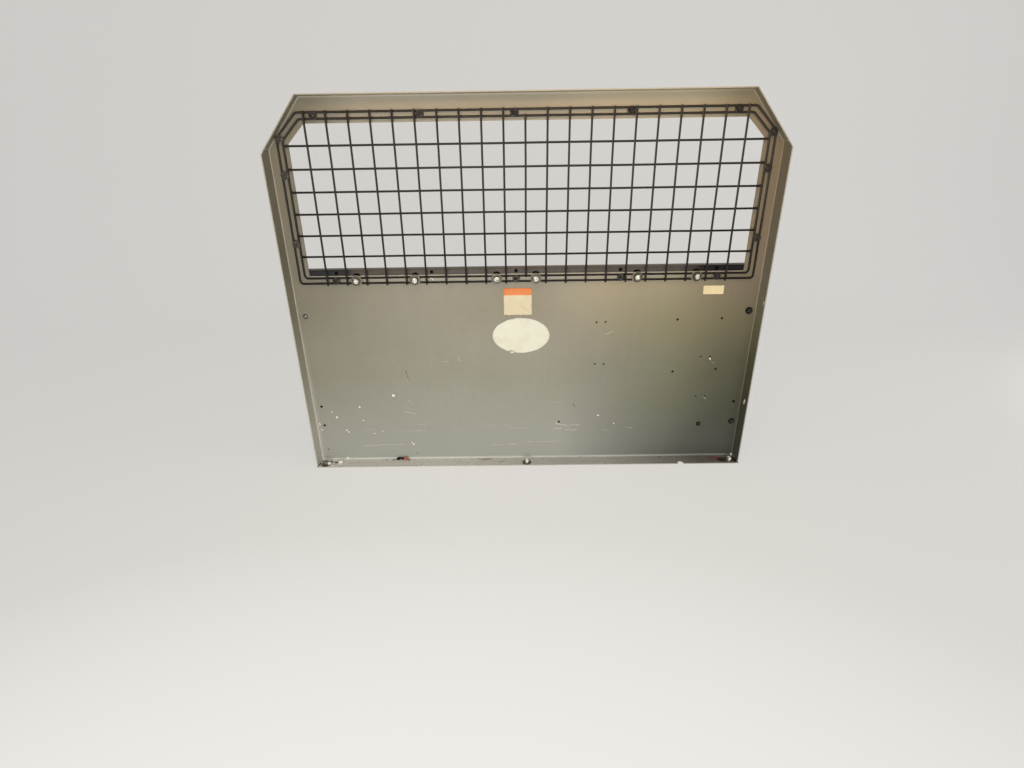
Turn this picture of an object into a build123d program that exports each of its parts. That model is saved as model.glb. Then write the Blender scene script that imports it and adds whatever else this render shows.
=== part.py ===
"""Cargo partition of a utility vehicle: a folded steel panel that stands behind the rear seat, with a
window that a welded wire grille covers. Millimetres, +Z up, +Y towards the front of the vehicle.
The origin is on the floor, under the middle hole of the row that bolts the partition down."""
import os
from math import radians, sqrt, tan
from build123d import *

os.makedirs("parts", exist_ok=True)

# Folded panel: plan of the sheet, its folds, and the lengths of what is folded
sheet = 2.5
bend_r = 3.0
half_width = 606.0
height = 948.0
shoulder_drop = 110.0
shoulder_slope = 51.0
side_flange = 40.0
top_flange = 20.0
side_flange_taper = 14.0
floor_flange = 44.0
corner_gap = 3.5
seam = 1.0

# Row of bolts through the floor flange, and the odd holes beside it
floor_bolt_inset = 24.0
floor_hole_r = 5.5
bolt_setback = 31.0
spare_hole_x = 386.5
spare_hole_setback = 14.0
spare_hole_r = 2.5
notch_x = 441.5
notch_setback = 41.0
notch_r = 9.0

# Window
window_side_margin = 51.0
window_bottom = 540.0
window_top_margin = 58.0
window_shoulder_inset = 10.0
window_corner_r = 3.0

# Welded wire grille: two perimeter wires on the panel, round the window, and the mesh inside them
wire_r = 2.5
pitch = 50.8
top_row_drop = 69.5
ring_side_lap = 24.5
ring_bottom_lap = 18.5
ring_top_lap = 22.5
ring_corner_rise = 22.5
ring_gap = 13.5
ring_lower_r = 9.0
ring_upper_r = 12.0
upright_overhang_low = 5.0
upright_overhang_high = 3.0
wire_end_chamfer = 0.8

# Gap left between pieces that bear on each other, play of a screw in its hole, rounding of a domed head
# as a share of its height, and how far a cutting body passes what it cuts
seat = 0.05
hole_clearance = 0.3
doming = 0.7
cut_over = 5.0

# Clamps that hold the perimeter wires: domed screw, round clamp washer and rivet nut
side_clamp_rise = 99.5
side_clamp_drop = 132.5
clamp_r = 9.5
clamp_t = 2.0
clamp_screw_r = 3.0
clamp_head_r = 5.5
clamp_head_h = 3.4
clamp_socket_r = 2.0
clamp_socket_depth = 1.6
rivet_nut_r = 4.0
rivet_nut_flange_r = 4.5
rivet_nut_flange_t = 0.8
rivet_nut_length = 12.0

# Bolts through the lower perimeter wires, the panel and the rail
sill_bolt_r = 3.9
sill_washer_r = 13.0
sill_washer_t = 2.4
hex_flats = 13.0
hex_head_h = 5.3
hex_turned = 0.9
nut_h = 6.5
thread_end = 2.5

# Rail behind the lower edge of the window
rail_below_window = 32.0
rail_above_window = 16.5
rail_shelf = 18.0
rail_hole_rise = 7.0
rail_hole_r = 3.3

# Flanged screws in the panel: side, distance from that edge, z, flange radius
panel_screw_table = [(-1, 24.0, 435.5, 7.0), (1, 21.0, 436.0, 9.5), (1, 20.0, 114.0, 8.5),
                     (1, 113.0, 106.0, 6.8)]
panel_screw_r = 4.0
panel_screw_flange_t = 1.6
panel_screw_dome_r = 5.8
panel_screw_dome_h = 3.0

# Small holes drilled in the panel: x from the middle, or distance from the right or left edge; z; radius
middle_holes = [(187.0, 409.0, 2.6), (211.0, 410.0, 2.6), (188.0, 292.0, 2.6), (212.0, 291.0, 2.6),
                (93.0, 117.5, 2.6)]
right_holes = [
    (205.5, 414.0, 2.2), (88.5, 416.0, 2.6), (131.5, 308.5, 2.6), (106.0, 308.5, 2.6), (203.5, 267.5, 2.2),
    (86.5, 273.0, 2.6), (130.5, 191.5, 2.4), (105.0, 192.0, 2.4), (22.0, 175.5, 2.0),
]
left_holes = [(25.0, 173.5, 2.0), (25.0, 114.5, 2.0), (25.0, 35.5, 2.0)]

# Sizes that follow from the ones above
shoulder_z = height - shoulder_drop
top_half = half_width - shoulder_drop / tan(radians(shoulder_slope))
window_half = half_width - window_side_margin
window_top = height - window_top_margin
ring_half = window_half + ring_side_lap
ring_bottom = window_bottom - ring_bottom_lap
ring_top = window_top + ring_top_lap
ring_shoulder = ring_top - shoulder_z - ring_corner_rise
window_shoulder = ring_shoulder - window_shoulder_inset
ring_lift = wire_r + seat
upright_lift = ring_lift + 2 * wire_r + seat
over_rings = ring_lift + wire_r + seat
rail_half = ring_half + wire_r
rail_bottom = window_bottom - rail_below_window
rail_top = window_bottom + rail_above_window
rail_back = -2 * sheet
clamp_half = ring_half - ring_gap / 2
clamp_low_z = ring_bottom + ring_gap / 2
clamp_high_z = ring_top - ring_gap / 2
corner_clamp_z = ring_top - ring_shoulder - ring_gap / 2 * (sqrt(2) - 1)

# Uprights stand between the shoulders, on both sides of the middle one; crossbars hang below the top one
last_column = int((ring_half - ring_shoulder) / pitch)
quarter_column = last_column // 2
top_row_z = ring_top - top_row_drop
rows = int((top_row_z - window_bottom) / pitch) + 1

# Places as x and z on the panel. Fasteners in the perimeter wires stand beside an upright: its column, and
# how far past it. One clamp of the lower row is lost.
clamp_columns = [(-last_column, 22.0), (-quarter_column, 12.5), (0, -25.0),
                 (quarter_column, -12.5), (last_column, -22.0)]
lost_clamp = 1
sill_bolt_columns = [(1 - last_column, 23.2), (-1 - quarter_column, 20.8), (0, -75.0), (0, 25.0),
                     (1 + quarter_column, -20.8), (last_column - 1, -22.2)]
clamp_x = [column * pitch + past for column, past in clamp_columns]
lower_places = [(x, clamp_low_z) for x in clamp_x]
upper_places = [(x, clamp_high_z) for x in clamp_x]
side_places = [(side * clamp_half, z) for side in (-1, 1)
               for z in (ring_bottom + side_clamp_rise, ring_top - side_clamp_drop, corner_clamp_z)]
rivet_nut_places = lower_places + upper_places + side_places
clamp_places = {
    "lower": lower_places[:lost_clamp] + lower_places[lost_clamp + 1:],
    "upper": upper_places,
    "side": side_places,
}
sill_places = [(column * pitch + past, clamp_low_z) for column, past in sill_bolt_columns]
floor_bolt_x = [floor_bolt_inset - half_width, 0.0, half_width - floor_bolt_inset]
panel_screws = [(side * (half_width - inset), z, flange_r)
                for side, inset, z, flange_r in panel_screw_table]
drilled_holes = (middle_holes + [(half_width - inset, z, radius) for inset, z, radius in right_holes]
                 + [(inset - half_width, z, radius) for inset, z, radius in left_holes])

# Work plane on the face that looks into the cargo space: x across, y up, z out of the face
face = Plane(origin=(0, bolt_setback, 0), x_dir=(1, 0, 0), z_dir=(0, -1, 0))


def save(name, *solids):
    """Writes the solids of one node, moved from the panel's face to the part's frame."""
    shape = solids[0] if len(solids) == 1 else Compound(children=list(solids))
    export_step(face.location * shape, f"parts/{name}.step")


def block(x, y, z):
    """A box given by its low and high value along each axis."""
    middle = [(low + high) / 2 for low, high in (x, y, z)]
    return Pos(*middle) * Box(x[1] - x[0], y[1] - y[0], z[1] - z[0])


def rod(radius, low, high):
    """A round bar along z."""
    return Pos(0, 0, (low + high) / 2) * Cylinder(radius, high - low)


def holes(places, radius):
    """Bars that cut a hole through the panel and the rail at each place."""
    return [Pos(x, z) * rod(radius, rail_back - cut_over, cut_over) for x, z in places]


def polygon(points):
    return make_face(Polyline(*points, close=True))


def shouldered(half, low, high, leg_x, leg_z):
    """Corner points of a rectangle with its two upper corners cut off."""
    return [(-half, low), (half, low), (half, high - leg_z), (half - leg_x, high),
            (-half + leg_x, high), (-half, high - leg_z)]


def hexagon(thickness):
    """A hexagonal piece on z = 0, with the corners of its outer face turned down."""
    turned = Pos(0, 0, thickness / 2) * Cylinder(hex_flats / sqrt(3), thickness)
    turned = chamfer(turned.edges().group_by(Axis.Z)[-1], hex_turned)
    return turned & extrude(RegularPolygon(hex_flats / 2, 6, major_radius=False), thickness)


def panel():
    """The sheet, folded towards the cargo space along every edge and cut out for the window."""
    outline = polygon(shouldered(half_width, 0, height, half_width - top_half, shoulder_drop))
    outside = Pos(0, 0, -sheet) * extrude(outline, sheet + floor_flange)
    outside = fillet(outside.edges().group_by(Axis.Z)[0], sheet + bend_r)
    inside = extrude(offset(outline, -sheet, kind=Kind.INTERSECTION), floor_flange)
    inside = fillet(inside.edges().group_by(Axis.Z)[0], bend_r)
    body = outside - inside

    # What is above the edge of the flanges, as height and distance out of the face
    clear = floor_flange + cut_over
    flange_edge = [(sheet, side_flange), (shoulder_z - side_flange_taper, side_flange),
                   (shoulder_z, top_flange), (height + cut_over, top_flange),
                   (height + cut_over, clear), (sheet, clear)]
    body -= extrude(Plane.YZ * polygon(flange_edge), half_width + cut_over, both=True)

    # Slots between the floor flange and the side flanges, seams at the four upper corners
    slot_outer = half_width - sheet
    slot = block((slot_outer - corner_gap, slot_outer), (-sheet, sheet + bend_r + corner_gap),
                 (-sheet - cut_over, clear))
    seam_cut = block((-sheet - cut_over, sheet + cut_over), (-seam / 2, seam / 2), (bend_r, clear))
    cuts = [slot]
    cuts.append(Pos(half_width, shoulder_z) * Rot(0, 0, (90 - shoulder_slope) / 2) * seam_cut)
    cuts.append(Pos(top_half, height) * Rot(0, 0, (180 - shoulder_slope) / 2) * seam_cut)
    body -= cuts + [mirror(cut, about=Plane.YZ) for cut in cuts]

    window = polygon(shouldered(window_half, window_bottom, window_top, window_shoulder, window_shoulder))
    window = fillet(window.vertices(), window_corner_r)
    body -= extrude(window, sheet + cut_over, both=True)

    body -= holes(rivet_nut_places, rivet_nut_r + hole_clearance)
    body -= holes(sill_places, sill_bolt_r + hole_clearance)
    body -= [hole for x, z, _ in panel_screws for hole in holes([(x, z)], panel_screw_r + hole_clearance)]
    body -= [hole for x, z, radius in drilled_holes for hole in holes([(x, z)], radius)]

    # Holes through the floor flange: x, distance out of the face, radius
    floor_holes = [(x, bolt_setback, floor_hole_r) for x in floor_bolt_x]
    floor_holes += [(spare_hole_x, spare_hole_setback, spare_hole_r), (notch_x, notch_setback, notch_r)]
    for x, out, radius in floor_holes:
        body -= Pos(x, 0, out) * Rot(90, 0, 0) * Cylinder(radius, 2 * (sheet + cut_over))
    return body


def rail():
    """Angle behind the window's lower edge, its shelf turned forward at the top."""
    shelf = rail_back - rail_shelf
    section = polygon([(rail_bottom, -sheet), (rail_top, -sheet), (rail_top, shelf),
                       (rail_top - sheet, shelf), (rail_top - sheet, rail_back), (rail_bottom, rail_back)])
    body = extrude(Plane.YZ * section, rail_half, both=True)
    outer = body.edges().filter_by(Axis.X).sort_by_distance((0, rail_top, -sheet))[0]
    body = fillet(outer, sheet + bend_r)
    inner = body.edges().filter_by(Axis.X).sort_by_distance((0, rail_top - sheet, rail_back))[0]
    body = fillet(inner, bend_r)
    body -= holes([(x, window_bottom + rail_hole_rise) for x in clamp_x], rail_hole_r)
    body -= holes(lower_places, rivet_nut_r + hole_clearance)
    body -= holes(sill_places, sill_bolt_r + hole_clearance)
    return body


def ring(inset):
    """A perimeter wire, bent round the window, inset from the outer one."""
    leg = ring_shoulder - inset * (2 - sqrt(2))
    corners = shouldered(ring_half - inset, ring_bottom + inset, ring_top - inset, leg, leg)
    radii = [ring_lower_r, ring_lower_r] + [ring_upper_r] * 4
    path = Pos(0, 0, ring_lift) * FilletPolyline(*corners, radius=radii, close=True)
    return sweep(Plane(origin=path @ 0, z_dir=path % 0) * Circle(wire_r), path=path)


def wire(start, end):
    """A straight wire of the grille with its cut ends eased."""
    path = Vector(*end) - Vector(*start)
    bar = chamfer(rod(wire_r, 0, path.length).edges().filter_by(GeomType.CIRCLE), wire_end_chamfer)
    return Plane(origin=start, z_dir=path.normalized()).location * bar


def upright(x, low, high):
    return wire((x, low, upright_lift), (x, high, upright_lift))


def clamp_washer():
    disc = rod(clamp_r, over_rings, over_rings + clamp_t)
    disc = chamfer(disc.edges().group_by(Axis.Z)[-1], clamp_t / 3)
    return disc - rod(clamp_screw_r + hole_clearance, 0, over_rings + clamp_t + cut_over)


def clamp_screw():
    under_head = over_rings + clamp_t
    head = rod(clamp_head_r, under_head, under_head + clamp_head_h)
    head = fillet(head.edges().group_by(Axis.Z)[-1], clamp_head_h * doming)
    head -= Pos(0, 0, under_head + clamp_head_h) * Cylinder(clamp_socket_r, 2 * clamp_socket_depth)
    return head + rod(clamp_screw_r, -rivet_nut_length, under_head)


def rivet_nut():
    body = rod(rivet_nut_r, -rivet_nut_length, 0) + rod(rivet_nut_flange_r, 0, rivet_nut_flange_t)
    return body - rod(clamp_screw_r + seat, -rivet_nut_length - cut_over, rivet_nut_flange_t + cut_over)


def sill_washer():
    return (rod(sill_washer_r, over_rings, over_rings + sill_washer_t)
            - rod(sill_bolt_r + hole_clearance, 0, over_rings + sill_washer_t + cut_over))


def sill_bolt():
    under_head = over_rings + sill_washer_t
    shank = rod(sill_bolt_r, rail_back - nut_h - thread_end, under_head)
    return Pos(0, 0, under_head) * hexagon(hex_head_h) + shank


def nut(bore_r, seat_z):
    """A hexagonal nut that bears on the plane z = seat_z from behind."""
    return Pos(0, 0, seat_z) * Rot(180, 0, 0) * (hexagon(nut_h) - rod(bore_r, -cut_over, nut_h + cut_over))


def panel_screw(flange_r):
    """A screw with a wide flange and a domed head, through the panel alone."""
    flange = rod(flange_r, 0, panel_screw_flange_t)
    flange = chamfer(flange.edges().group_by(Axis.Z)[-1], panel_screw_flange_t / 2)
    dome = rod(panel_screw_dome_r, panel_screw_flange_t, panel_screw_flange_t + panel_screw_dome_h)
    dome = fillet(dome.edges().group_by(Axis.Z)[-1], panel_screw_dome_h * doming)
    return flange + dome + rod(panel_screw_r, -sheet - nut_h - thread_end, 0)


def at(places, piece):
    """Copies of one piece at places on the panel."""
    return [Pos(x, z) * piece for x, z in places]


save("panel", panel())
save("sill_rail", rail())

save("perimeter_wire_outer", ring(0))
save("perimeter_wire_inner", ring(ring_gap))

upright_low = ring_bottom - upright_overhang_low
upright_high = ring_top + upright_overhang_high
save("grille_uprights", *[upright(side * column * pitch, upright_low, upright_high)
                          for side in (-1, 1) for column in range(1, last_column + 1)])
save("grille_middle_upright", upright(0, ring_bottom + ring_gap - upright_overhang_high,
                                      ring_top - ring_gap + upright_overhang_high))
crossbar_half = ring_half - ring_gap - wire_r - seat
save("grille_crossbars", *[wire((-crossbar_half, top_row_z - i * pitch, ring_lift),
                                (crossbar_half, top_row_z - i * pitch, ring_lift)) for i in range(rows)])

for row, places in clamp_places.items():
    save(f"{row}_clamp_washers", *at(places, clamp_washer()))
    save(f"{row}_clamp_screws", *at(places, clamp_screw()))
save("rivet_nuts", *at(rivet_nut_places, rivet_nut()))

save("sill_washers", *at(sill_places, sill_washer()))
save("sill_bolts", *at(sill_places, sill_bolt()))
save("sill_nuts", *at(sill_places, nut(sill_bolt_r + seat, rail_back)))

save("panel_screws", *[Pos(x, z) * panel_screw(flange_r) for x, z, flange_r in panel_screws])
save("panel_nuts", *at([(x, z) for x, z, _ in panel_screws], nut(panel_screw_r + seat, -sheet)))
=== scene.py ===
"""Cargo partition of a utility vehicle, dressed for rendering: a folded steel panel in warm grey powder
coat, whose window is covered by a black welded wire grille. Metres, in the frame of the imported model:
+Z up, +Y towards the front of the vehicle, the origin under the middle bolt of the floor flange."""
from math import cos, pi, radians, sin, sqrt

import bmesh
import bpy
from mathutils import Matrix, Vector, noise


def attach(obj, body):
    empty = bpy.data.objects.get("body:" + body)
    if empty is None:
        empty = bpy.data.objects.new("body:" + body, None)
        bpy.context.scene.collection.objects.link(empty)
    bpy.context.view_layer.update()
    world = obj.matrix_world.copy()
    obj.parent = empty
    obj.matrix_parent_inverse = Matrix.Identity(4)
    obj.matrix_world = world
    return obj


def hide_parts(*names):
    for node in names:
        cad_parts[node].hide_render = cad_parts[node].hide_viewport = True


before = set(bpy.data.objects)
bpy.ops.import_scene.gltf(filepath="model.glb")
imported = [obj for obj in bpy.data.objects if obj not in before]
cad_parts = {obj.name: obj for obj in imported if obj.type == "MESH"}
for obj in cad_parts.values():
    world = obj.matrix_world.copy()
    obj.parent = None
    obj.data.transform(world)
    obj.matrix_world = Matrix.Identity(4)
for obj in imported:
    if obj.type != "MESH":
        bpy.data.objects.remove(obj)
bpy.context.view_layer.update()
scene = bpy.context.scene
scene.view_settings.view_transform = "Standard"

# Camera. It stands where the photograph was taken: before the partition and a little to the left of its
# middle, looking down at it through a short lens.
camera = bpy.data.objects.new("camera", bpy.data.cameras.new("camera"))
camera.data.sensor_width = 36
camera.data.lens = 17.86
camera.location = (-0.0292, -1.2794, 0.766)
camera.rotation_euler = (radians(67.97), radians(0.8), radians(0.14))
scene.collection.objects.link(camera)
scene.camera = camera


# Floor and backdrop. One sheet of pale seamless paper, matt with a faint tooth, that runs under the
# partition and curves up behind it. It isn't part of the object.
def linear(code):
    """An sRGB hex colour as linear RGBA."""
    channels = [int(code[i:i + 2], 16) / 255 for i in (1, 3, 5)]
    return tuple(c / 12.92 if c <= 0.04045 else ((c + 0.055) / 1.055) ** 2.4 for c in channels) + (1.0,)


def fill(made, inputs):
    """Fills inputs of a node. Each takes a value, an output, a node, whose first output is meant, or a
    list of outputs that all go into it."""
    for key, value in inputs.items():
        for source in value if isinstance(value, list) else [value]:
            if isinstance(source, bpy.types.Node):
                source = source.outputs[0]
            if isinstance(source, bpy.types.NodeSocket):
                made.id_data.links.new(source, made.inputs[key])
            else:
                made.inputs[key].default_value = source


def node(tree, kind, inputs=None, **settings):
    """Adds a node with its settings and its inputs."""
    made = tree.nodes.new(kind)
    for name, value in settings.items():
        setattr(made, name, value)
    fill(made, inputs or {})
    return made


def new_finish(name, metallic, roughness, *grains):
    """A finish to be worked up: its material, its tree, its shader, the object's coordinates, and a noise
    for each grain, which is given by its size in metres and its detail."""
    made = bpy.data.materials.new(name)
    made.use_nodes = True
    tree = made.node_tree
    shader = tree.nodes["Principled BSDF"]
    fill(shader, {"Metallic": metallic, "Roughness": roughness})
    place = node(tree, "ShaderNodeTexCoord").outputs["Object"]
    noises = [node(tree, "ShaderNodeTexNoise", {"Vector": place, "Scale": 1 / size, "Detail": detail})
              for size, detail in grains]
    return made, tree, shader, place, *noises


def inside(tree, spot, marks, softness):
    """How far inside the nearest of the marks a spot lies, from 0 at its edge to 1 in its core. A mark is
    its place and radius, or its two ends and half its width."""
    deepest = None
    for start, *end, half_width in marks:
        along = end[0] - start if end else Vector()
        offset = node(tree, "ShaderNodeVectorMath", {0: spot, 1: start}, operation="SUBTRACT")
        if along.length:
            share = node(tree, "ShaderNodeVectorMath", {0: offset, 1: along / along.length_squared},
                         operation="DOT_PRODUCT").outputs["Value"]
            share = node(tree, "ShaderNodeClamp", {0: share})
            foot = node(tree, "ShaderNodeVectorMath", {0: along, "Scale": share}, operation="SCALE")
            offset = node(tree, "ShaderNodeVectorMath", {0: offset, 1: foot}, operation="SUBTRACT")
        away = node(tree, "ShaderNodeVectorMath", {0: offset}, operation="LENGTH").outputs["Value"]
        depth = node(tree, "ShaderNodeMapRange", {0: away, 1: half_width, 2: half_width * (1 - softness)})
        deepest = depth if deepest is None else node(tree, "ShaderNodeMath", {0: deepest, 1: depth},
                                                     operation="MAXIMUM")
    return deepest.outputs[0]


# Paper fibres are finer than a pixel, so the tooth is drawn 4 mm wide
paper, tree, shader, place, fibres = new_finish("seamless_paper", 0.0, 0.95, (0.004, 4.0))
tooth = node(tree, "ShaderNodeBump", {"Strength": 0.1, "Distance": 0.0005, "Height": fibres})
fill(shader, {"Base Color": linear("#dedcd7"), "Normal": tooth})
# What the camera, gloss and glass see of the paper is lifted towards white; its shadows stay
ray = node(tree, "ShaderNodeLightPath").outputs
seen = node(tree, "ShaderNodeMath", {0: ray["Is Camera Ray"], 1: ray["Is Glossy Ray"]}, operation="MAXIMUM")
seen = node(tree, "ShaderNodeMath", {0: seen, 1: ray["Is Transmission Ray"]}, operation="MAXIMUM")
# Right under the soft boxes it would burn out, so there nearly all that is seen of it is this even white
below_lamps = inside(tree, place, [(Vector((-0.18, -1.75, 0)), 1.5), (Vector((3.2, -0.55, 0)), 1.8)], 0.5)
lift = node(tree, "ShaderNodeMath", {0: below_lamps, 1: 0.385, 2: 0.6}, operation="MULTIPLY_ADD")
seen = node(tree, "ShaderNodeMath", {0: seen, 1: lift}, operation="MULTIPLY")
glow = node(tree, "ShaderNodeEmission", {"Color": linear("#f1efeb"), "Strength": 1.0})
lifted = node(tree, "ShaderNodeMixShader", {0: seen, 1: shader, 2: glow})
fill(tree.nodes["Material Output"], {"Surface": lifted})
front_y, bend_y, bend_r, top_z, half_wide, gap_below = -9.0, 1.4, 1.2, 7.0, 14.0, 0.0002
profile = [(front_y, 0.0), (bend_y, 0.0)]
for step in range(1, 13):
    turn = radians(90 * step / 12)
    profile.append((bend_y + bend_r * sin(turn), bend_r - bend_r * cos(turn)))
profile.append((bend_y + bend_r, top_z))
sweep = bpy.data.meshes.new("backdrop")
sweep.from_pydata([(x, y, z - gap_below) for y, z in profile for x in (-half_wide, half_wide)], [],
                  [(2 * i, 2 * i + 1, 2 * i + 3, 2 * i + 2) for i in range(len(profile) - 1)])
sweep.polygons.foreach_set("use_smooth", [True] * len(sweep.polygons))
sweep.materials.append(paper)
backdrop = bpy.data.objects.new("backdrop", sweep)
scene.collection.objects.link(backdrop)


# Lights. A broad soft box behind the camera, as daylight from there, a weaker one overhead, one far to the
# right that reaches the inner side of the left fold, and a small warm one just above the panel's upper
# edge; the world fills the shadows.
def soft_box(name, place, target, size, power, colour):
    lamp = bpy.data.objects.new(name, bpy.data.lights.new(name, "AREA"))
    lamp.data.shape = "RECTANGLE"
    lamp.data.size, lamp.data.size_y = size
    lamp.data.energy = power
    lamp.data.color = linear(colour)[:3]
    lamp.location = place
    lamp.rotation_euler = (Vector(target) - Vector(place)).to_track_quat("-Z", "Y").to_euler()
    lamp.visible_camera = False
    scene.collection.objects.link(lamp)


soft_box("daylight", (-0.18, -1.75, 0.40), (-0.10, 0, 0.26), (1.1, 0.8), 18, "#fffdf8")
soft_box("overhead", (-0.2, -1.2, 3.0), (0, 0, 0.3), (2.6, 2.0), 15, "#fff6ea")
soft_box("side", (3.2, -0.55, 0.7), (-0.6, 0, 0.45), (1.0, 1.6), 26, "#fbfcff")
soft_box("above", (0.05, -0.30, 1.22), (0.05, 0.03, 0.93), (1.2, 0.2), 1.6, "#ffc87c")
scene.world = bpy.data.worlds.new("studio")
scene.world.use_nodes = True
tree = scene.world.node_tree
fill(tree.nodes["Background"], {"Color": linear("#f3f5f7"), "Strength": 0.24})
# Where the paper ends, the camera sees a pale room, which gives no light of its own
room = node(tree, "ShaderNodeBackground", {"Color": linear("#d2d0cc"), "Strength": 1.0})
seen = node(tree, "ShaderNodeLightPath").outputs["Is Camera Ray"]
room = node(tree, "ShaderNodeMixShader", {0: seen, 1: tree.nodes["Background"], 2: room})
fill(tree.nodes["World Output"], {"Surface": room})

# Folded panel. One steel sheet of 2.5 mm, cut, drilled, folded along four sides and finished in a warm
# grey powder coat, which cures to a fine orange peel with a soft sheen. Cargo has scuffed and chipped it,
# dust lies along the floor, and the floor flange has begun to rust.
mm = 0.001
face_y, sheet, half_width = 31.0, 2.5, 606.0

# Chips as x, z and radius on the face, in millimetres; scuffs and dark marks as x, z of both ends and
# half a width; rust and dirt on the floor flange as x, y of both ends and half a width
chips = [
    (-374, 205, 4.4), (-473, 171, 2.8), (-542, 139, 3.4), (-467, 129, 2.4), (-519, 97.5, 2.6),
    (-514.5, 91.5, 2.6), (-441, 86, 2.4), (-415, 94, 2.0), (-590, 101, 2.2), (-594, 119, 2.8),
    (-554, 157, 2.0), (-333, 55, 2.6), (-329, 50, 2.3), (500, 303.5, 2.6), (204.5, 136.5, 2.6),
    (250, 111, 1.9), (-529, 4, 3.4), (-529, 8, 2.6), (603, 3, 1.2),
]
scuffs = [
    (-479, 47.5, -432, 47.0, 1.8), (-429, 48.9, -358, 49.3, 1.5), (-317, 94.4, -293, 94.1, 1.4),
    (-309, 113.6, -283, 114.9, 1.2), (-389, 94.6, -296, 93.4, 0.8), (-134, 106.5, -42, 108.6, 0.8),
    (-56, 100.7, 4, 98.4, 0.8), (-57, 45.5, -25, 47.1, 1.7), (-95, 44.0, -66, 45.3, 1.2),
    (4, 54.3, 95, 54.8, 1.2), (75, 178.0, 92, 178.4, 1.0), (79, 95.1, 102, 97.1, 1.7),
    (82, 112.0, 122, 103.9, 2.0), (128, 107.9, 150, 106.4, 1.8), (112, 91.6, 146, 90.2, 1.7),
    (-210, 90.4, -192, 91.2, 1.1), (-225, 305.2, -214, 304.6, 1.3), (-185, 318.0, -182, 304.0, 1.1),
    (213, 376.0, 232, 385.0, 1.3), (500, 303.5, 515, 287.0, 0.8), (-345, 155.0, -318, 148.0, 1.5),
    (223, 91.0, 238, 90.0, 1.1), (290, 96.5, 303, 95.8, 1.1), (-331, 190.0, -327, 182.0, 1.5),
    (496, 190.0, 503, 184.0, 1.2), (-464, 98.0, -440, 101.0, 0.9),
]
dark_marks = [(-331.8, 279, -324, 247, 0.9), (137.8, 163.2, 131.8, 172.6, 1.1), (-321, 22, -321, 21, 1.6)]
# Drilled holes as x, z, radius and how far a ring of painted shade reaches round them; a clean one has a
# pale burr below
clean = 0.4
drilled = [
    (187, 409, 2.6, clean), (211, 410, 2.6, clean), (188, 292, 2.6, clean), (212, 291, 2.6, clean),
    (93, 117.5, 2.6, 1.0), (400.5, 414, 2.2, 1.3), (517.5, 416, 2.6, 0.9), (474.5, 308.5, 2.6, clean),
    (500, 308.5, 2.6, clean), (402.5, 267.5, 2.2, 1.4), (519.5, 273, 2.6, 0.9), (475.5, 191.5, 2.4, clean),
    (501, 192, 2.4, clean), (584, 175.5, 2.0, 2.4), (-581, 173.5, 2.0, 2.2), (-581, 114.5, 2.0, 2.0),
    (-581, 35.5, 2.0, 0.3),
]
scuffs += [(x - 1, z - r - 0.8, x + 1, z - r - 0.8, 0.8) for x, z, r, shade_reach in drilled if shade_reach == clean]
flange_rust = [(536, 12, 560, 13, 20), (-598, 14, -594, -4, 9), (-128, 20, -108, 23, 8)]
flange_dirt = [
    (389, 26, 391, 26, 2.6), (-352, 24, -345, 21, 3.6), (-416, 26, -413, 26, 2.2), (-140, 24, -138, 24, 2.0),
    (-594, 15, -570, 15, 5), (563, 5, 597, 3, 14), (-80, 4, -66, 9, 1.4), (-560, 12, -556, 10, 4),
]
# Pale strokes on the floor flange; those along its front edge are partly rubbed, partly a painted highlight
flange_rubbed_and_edge_highlight = [(0, 0, 0, 0, 16.5), (-470, -8, -300, -9, 3), (60, -9, 220, -9, 2.5), (-520, 10, -400, 8, 4)]


def overlap(tree, ramps, full=1.0):
    """Where all ramps overlap. Each is a pattern with the values at which it starts and reaches its full."""
    for pattern, start, end in ramps:
        full = node(tree, "ShaderNodeMapRange", {0: pattern, 1: start, 2: end, 4: full})
    return full


def layered(tree, colour, layers):
    """Lays tints over a colour. Each layer is its tint, its strength, the ramps that say where it lies and,
    where it isn't mixed in, how it is blended."""
    under = linear(colour)
    for tint, strength, ramps, *way in layers:
        share = overlap(tree, ramps, strength)
        under = node(tree, "ShaderNodeMix", {0: share, 6: under, 7: linear(tint)}, data_type="RGBA",
                     blend_type=way[0] if way else "MIX").outputs[2]
    return under


def facing_axes(tree):
    """Which way the surface faces, as outputs for X, Y and Z."""
    normal = node(tree, "ShaderNodeNewGeometry").outputs["Normal"]
    return node(tree, "ShaderNodeSeparateXYZ", {0: normal}).outputs


def on_face(x, z):
    return Vector((x, face_y, z)) * mm


def on_flange(x, y):
    return Vector((x, y, sheet)) * mm


def strokes(surface, marks):
    """Marks on a surface, from their two ends and half their width in millimetres."""
    return [(surface(a, b), surface(c, d), half * mm) for a, b, c, d, half in marks]


def dress(names, finish):
    """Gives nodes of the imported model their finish."""
    for name in names:
        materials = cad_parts[name].data.materials
        materials.clear()
        materials.append(finish)


# Powder coat has clouds of uneven film, finger-wide mottle, grit, and an orange peel 2 to 3 mm across and
# a few hundredths of a millimetre deep, as real ones are; the last noise makes the edges of marks tremble
powder, tree, shader, place, clouds, mottle, grit, peel, tremble = new_finish(
    "powder_coat_warm_grey", 0.0, 0.42, (0.30, 4.0), (0.012, 3.0), (0.0035, 2.0), (0.0025, 2.0), (0.006, 3.0))
across, deep, height = node(tree, "ShaderNodeSeparateXYZ", {0: place}).outputs
off_middle = node(tree, "ShaderNodeMath", {0: across}, operation="ABSOLUTE")
facing = facing_axes(tree)
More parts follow.
